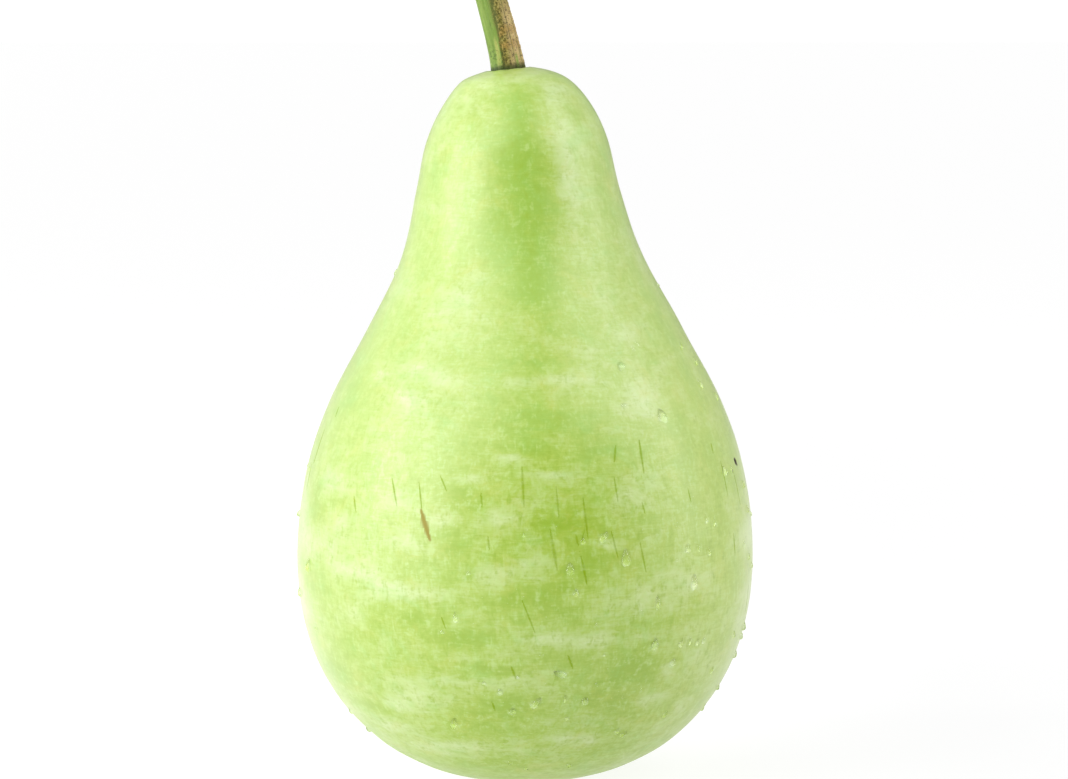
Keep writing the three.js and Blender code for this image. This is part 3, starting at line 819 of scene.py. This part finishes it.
# A sliver of it stayed green in the middle of the cork, low down.
off_middle = add("ShaderNodeMath", {0: turn}, operation="ABSOLUTE")[0]
sliver = add("ShaderNodeMath", {0: ramp(off_middle, *SLIVER_EDGE),
                                1: ramp(over_foot, *SLIVER_SPAN, 0.0, 0.8)}, operation="MULTIPLY")[0]
side = over(side, STEM_PALE, sliver)
# Painted shade: darker the deeper a groove sinks, and at the foot where the stalk meets the crown.
side = over(side, STEM_SHADE, ramp(sunk, *GROOVE_SHADE_SPAN, 0.0, 0.7))
foot = add("ShaderNodeMath", {0: specks, 1: -3 * MM, 2: over_foot}, operation="MULTIPLY_ADD")[0]
side = over(side, FOOT_SHADE, ramp(foot, *FOOT_SHADE_SPAN, 0.0, 0.85))

off_axis = add("ShaderNodeVectorMath", {0: straight, 1: (1, 1, 0)}, operation="MULTIPLY")[0]
off_axis = add("ShaderNodeVectorMath", {0: off_axis}, operation="LENGTH")["Value"]
wood = over(PITH_BROWN, WOOD_CREAM, ramp(off_axis, *PITH_EDGE))
wood = over(wood, STEM_GREEN, ramp(off_axis, *WOOD_EDGE))
wood = over(wood, PITH_BROWN, ramp(specks, 0.5, 0.35, 0.0, 0.5))
on_cut = add("ShaderNodeMath", {0: ramp(over_foot, *CUT_SPAN), 1: ramp(off_axis, *CUT_EDGE)},
             operation="MULTIPLY")[0]
tree.links.new(over(side, wood, on_cut), bark.inputs["Base Color"])
tree.links.new(ramp(past_band, -1.5, 0.0, 0.45, 0.85), bark.inputs["Roughness"])
bark.inputs["Specular IOR Level"].default_value = 0.25
tree.links.new(add("ShaderNodeBump", {
    "Height": specks, "Distance": 0.15 * MM, "Strength": 0.7})[0], bark.inputs["Normal"])

# ---- Water ----
# Tap water beaded on the wax. Each drop has slid a little, so it is longer than wide and fullest at
# its lower end. It holds on to the skin by wetting it, and stands steep at its edge.
# The seen side: place in the camera's frame, width and length in millimetres, degrees of lean.
DROPS = [
    (633, 349, 1.0, 1.6, 0), (637, 344, 1.0, 1.8, 10), (621, 366, 2.6, 2.6, 20), (624, 405, 1.6, 1.2, 0),
    (662, 416, 3.0, 4.6, 8), (681, 346, 1.2, 2.4, -25), (695, 361, 1.2, 3.2, -25),
    (700, 384, 1.5, 2.8, 0), (716, 396, 1.0, 2.8, -15), (658, 285, 0.9, 1.4, 0), (731, 469, 1.1, 2.4, 0),
    (743, 484, 1.2, 2.6, 0), (747, 509, 1.2, 2.4, 0), (604, 537, 2.0, 3.7, -38), (626, 558, 2.7, 4.9, 0),
    (570, 569, 2.3, 3.6, 0), (583, 541, 1.3, 2.0, 0), (576, 593, 1.5, 2.2, 0), (688, 548, 1.8, 2.6, 0),
    (698, 548, 1.2, 2.4, 0), (709, 552, 1.2, 2.6, 10), (714, 522, 1.2, 2.2, 0), (706, 519, 0.9, 2.6, 0),
    (694, 582, 2.3, 4.5, -3), (658, 603, 1.5, 4.2, 3), (655, 644, 2.1, 3.6, 0),
    (681, 643, 1.3, 2.8, -20), (673, 662, 1.9, 2.1, -20), (690, 641, 0.9, 2.2, 0),
    (697, 642, 1.0, 2.3, 0), (703, 641, 0.9, 2.0, 0), (560, 674, 2.1, 3.8, 70),
    (536, 703, 1.8, 4.5, -35), (585, 701, 2.0, 2.4, 0), (565, 699, 0.8, 3.0, 0), (567, 718, 1.1, 1.5, 0),
    (617, 731, 1.4, 2.6, -10), (623, 734, 1.6, 2.6, -42), (665, 714, 1.5, 2.6, -30),
    (597, 684, 1.3, 1.3, 0), (712, 670, 1.0, 2.4, 0), (569, 765, 1.7, 1.8, 0), (744, 626, 1.9, 2.6, 0),
    (737, 654, 1.9, 2.4, 0), (704, 708, 1.4, 1.8, 0), (751, 565, 1.5, 2.0, 0), (719, 687, 1.5, 2.0, 0),
    (468, 573, 1.3, 1.2, 0), (455, 617, 1.2, 3.0, 0), (442, 632, 1.3, 1.1, 0), (500, 692, 1.5, 2.1, 0),
    (513, 711, 2.0, 2.2, 0), (454, 723, 1.8, 4.2, -20), (510, 762, 1.6, 1.3, 0), (526, 768, 1.4, 1.2, 0),
    (351, 711, 1.5, 2.2, 0), (368, 729, 1.5, 2.2, 0), (484, 683, 1.0, 1.3, 0), (305, 465, 0.7, 1.2, 0),
    (623, 697, 0.9, 1.1, 0), (641, 690, 0.8, 1.0, 0), (604, 655, 0.8, 0.9, 0), (642, 612, 0.8, 1.0, 0),
    (677, 560, 0.8, 1.1, 0), (540, 655, 0.8, 0.8, 0), (596, 624, 0.7, 0.8, 0), (524, 535, 0.9, 1.2, 0),
    (518, 677, 1.0, 1.1, 0),
]
UNSEEN_DROPS = 60
# The unseen drops in millimetres, shares of their width, and degrees.
DROP_PLACE, DROP_WIDTH, DROP_LENGTH, DROP_LEAN = (9, 150, 45), (0.6, 2.6, 1.1), (1.0, 1.9), (-20, 20)
DROP_SUNK = 0.12  # share of a drop's height under the skin's surface
DROP_HEIGHT = 0.42  # share of its width
DROP_TAPER = 0.8  # how much of its width it gains from its upper end to its lower one
DROP_DOME, DROP_UNDERSIDE = 2.0, 0.4  # times the heights of the ball's upper and lower halves
UNEVENNESS, UNEVENNESS_SIZE = 0.25 * MM, 1.6 * MM
WATER_IOR = 1.333

beaded = [(*seen(across, down), width, length, lean) for across, down, width, length, lean in DROPS]
for _ in range(UNSEEN_DROPS):
    place = round_at(unseen_turn(), draw.triangular(*DROP_PLACE) * MM)
    width = draw.triangular(*DROP_WIDTH)
    beaded.append((*place, width, width * draw.uniform(*DROP_LENGTH), draw.uniform(*DROP_LEAN)))
drop_seats = bpy.data.meshes.new("drop_seats")
drop_seats.from_pydata([place for place, *_ in beaded], [], [])
give(drop_seats, "facing", "FLOAT_VECTOR", [normal for _, normal, *_ in beaded])
give(drop_seats, "size", "FLOAT_VECTOR", [
    (width * MM, length * MM, width * DROP_HEIGHT * MM) for _, _, width, length, _ in beaded])
give(drop_seats, "lean", "FLOAT", [math.radians(lean) for *_, lean in beaded])
drop_seats = bpy.data.objects.new("drop_seats", drop_seats)
scene.collection.objects.link(drop_seats)

water = bpy.data.materials.new("clear_water")
drop_sizes = {"Seats": ("Object", drop_seats), "Sunk": ("Float", DROP_SUNK),
              "Unevenness": ("Float", UNEVENNESS), "Unevenness Size": ("Float", UNEVENNESS_SIZE),
              "Material": ("Material", water)}
tree, given = new_tree("water_drops", drop_sizes)
seats = add("GeometryNodeObjectInfo", {"Object": given["Seats"]})["Geometry"]
ball = add("GeometryNodeMeshIcoSphere", {"Radius": 0.5, "Subdivisions": 4})["Mesh"]
on_ball = add("ShaderNodeSeparateXYZ", {0: add("GeometryNodeInputPosition")[0]})
taper = add("ShaderNodeMath", {0: on_ball["Y"], 1: -DROP_TAPER, 2: 1.0}, operation="MULTIPLY_ADD")[0]
drop_x = add("ShaderNodeMath", {0: on_ball["X"], 1: taper}, operation="MULTIPLY")[0]
dome = add("ShaderNodeMath", {0: on_ball["Z"], 1: 0.0}, operation="MAXIMUM")[0]
dome = add("ShaderNodeMath", {0: dome, 1: DROP_DOME}, operation="MULTIPLY")[0]
dome = add("ShaderNodeMath", {0: dome, 1: taper}, operation="MULTIPLY")[0]
bottom = add("ShaderNodeMath", {0: on_ball["Z"], 1: 0.0}, operation="MINIMUM")[0]
drop_z = add("ShaderNodeMath", {0: bottom, 1: DROP_UNDERSIDE, 2: dome}, operation="MULTIPLY_ADD")[0]
drop_z = add("ShaderNodeMath", {0: drop_z, 1: given["Sunk"]}, operation="SUBTRACT")[0]
low = add("ShaderNodeMath", {0: 0.5, 1: on_ball["Y"]}, operation="SUBTRACT")[0]
for name, value in (("up_dome", dome), ("low_end", low)):
    ball = add("GeometryNodeStoreNamedAttribute", {"Geometry": ball, "Name": name, "Value": value},
               data_type="FLOAT", domain="POINT")[0]
shape = add("ShaderNodeCombineXYZ", {"X": drop_x, "Y": on_ball["Y"], "Z": drop_z})[0]
bead = add("GeometryNodeSetPosition", {"Geometry": ball, "Position": shape})[0]
facing = add("GeometryNodeInputNamedAttribute", {"Name": "facing"}, data_type="FLOAT_VECTOR")[0]
size = add("GeometryNodeInputNamedAttribute", {"Name": "size"}, data_type="FLOAT_VECTOR")[0]
lean = add("GeometryNodeInputNamedAttribute", {"Name": "lean"}, data_type="FLOAT")[0]
stood = add("FunctionNodeAlignRotationToVector", {"Vector": facing}, axis="Z")[0]
hung = add("FunctionNodeAlignRotationToVector", {"Rotation": stood, "Vector": (0, 0, 1)},
           axis="Y", pivot_axis="Z")[0]
swung = add("FunctionNodeAxisAngleToRotation", {"Axis": (0, 0, 1), "Angle": lean})[0]
leaned = add("FunctionNodeRotateRotation", {"Rotation": hung, "Rotate By": swung},
             rotation_space="LOCAL")[0]
beads = add("GeometryNodeInstanceOnPoints", {
    "Points": seats, "Instance": bead, "Rotation": leaned, "Scale": size})[0]
solid = add("GeometryNodeRealizeInstances", {0: beads})[0]
here = add("GeometryNodeInputPosition")[0]
wobble = unevenness(here, given["Unevenness Size"], 0.0)["Color"]
wobble = add("ShaderNodeVectorMath", {0: wobble, 1: (0.5, 0.5, 0.5)}, operation="SUBTRACT")[0]
wobble = add("ShaderNodeVectorMath", {0: wobble, "Scale": given["Unevenness"]}, operation="SCALE")[0]
uneven = add("GeometryNodeSetPosition", {"Geometry": solid, "Offset": wobble})[0]
drops = grow("water_drops", uneven, drop_sizes)
bpy.data.objects.remove(drop_seats)
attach(drops, "root")

# Water: clear and smooth, so it shows as bent light. A drop gathers the light that enters by its
# dome and loses what meets its steep edge, and this is painted into its shadow by the place on the drop,
# not by where the lamps stand: darkest at its steep edge, a little lighter than none under its dome and
# brightest at its lower end, bluer there so that this painted highlight reads whiter.
EDGE_LIGHT, DOME_LIGHT, LOW_LIGHT = (0.25, 0.25, 0.25, 1), (1.1, 1.1, 1.1, 1), (1.8, 1.75, 2.6, 1)
water.use_nodes = True
tree = water.node_tree
clear = tree.nodes["Principled BSDF"]
clear.inputs["Base Color"].default_value = (1, 1, 1, 1)
clear.inputs["Roughness"].default_value = 0.05
clear.inputs["IOR"].default_value = WATER_IOR
clear.inputs["Transmission Weight"].default_value = 1.0
up_dome = add("ShaderNodeAttribute", attribute_name="up_dome")["Fac"]
low_end = add("ShaderNodeAttribute", attribute_name="low_end")["Fac"]
# Painted light and shade let through to the skin under the drop.
gathered = over(DOME_LIGHT, LOW_LIGHT, ramp(low_end, 0.35, 0.8))
gathered = over(EDGE_LIGHT, gathered, add("ShaderNodeMath", {0: up_dome, 1: 0.7}, operation="POWER")[0])
ray = add("ShaderNodeLightPath")
light_ray = add("ShaderNodeMath", {0: ray["Is Shadow Ray"], 1: ray["Is Diffuse Ray"]},
                operation="MAXIMUM")[0]
through = add("ShaderNodeBsdfTransparent", {"Color": gathered})[0]
let_through = add("ShaderNodeMixShader", {0: light_ray, 1: clear.outputs[0], 2: through})[0]
tree.links.new(let_through, tree.nodes["Material Output"].inputs["Surface"])
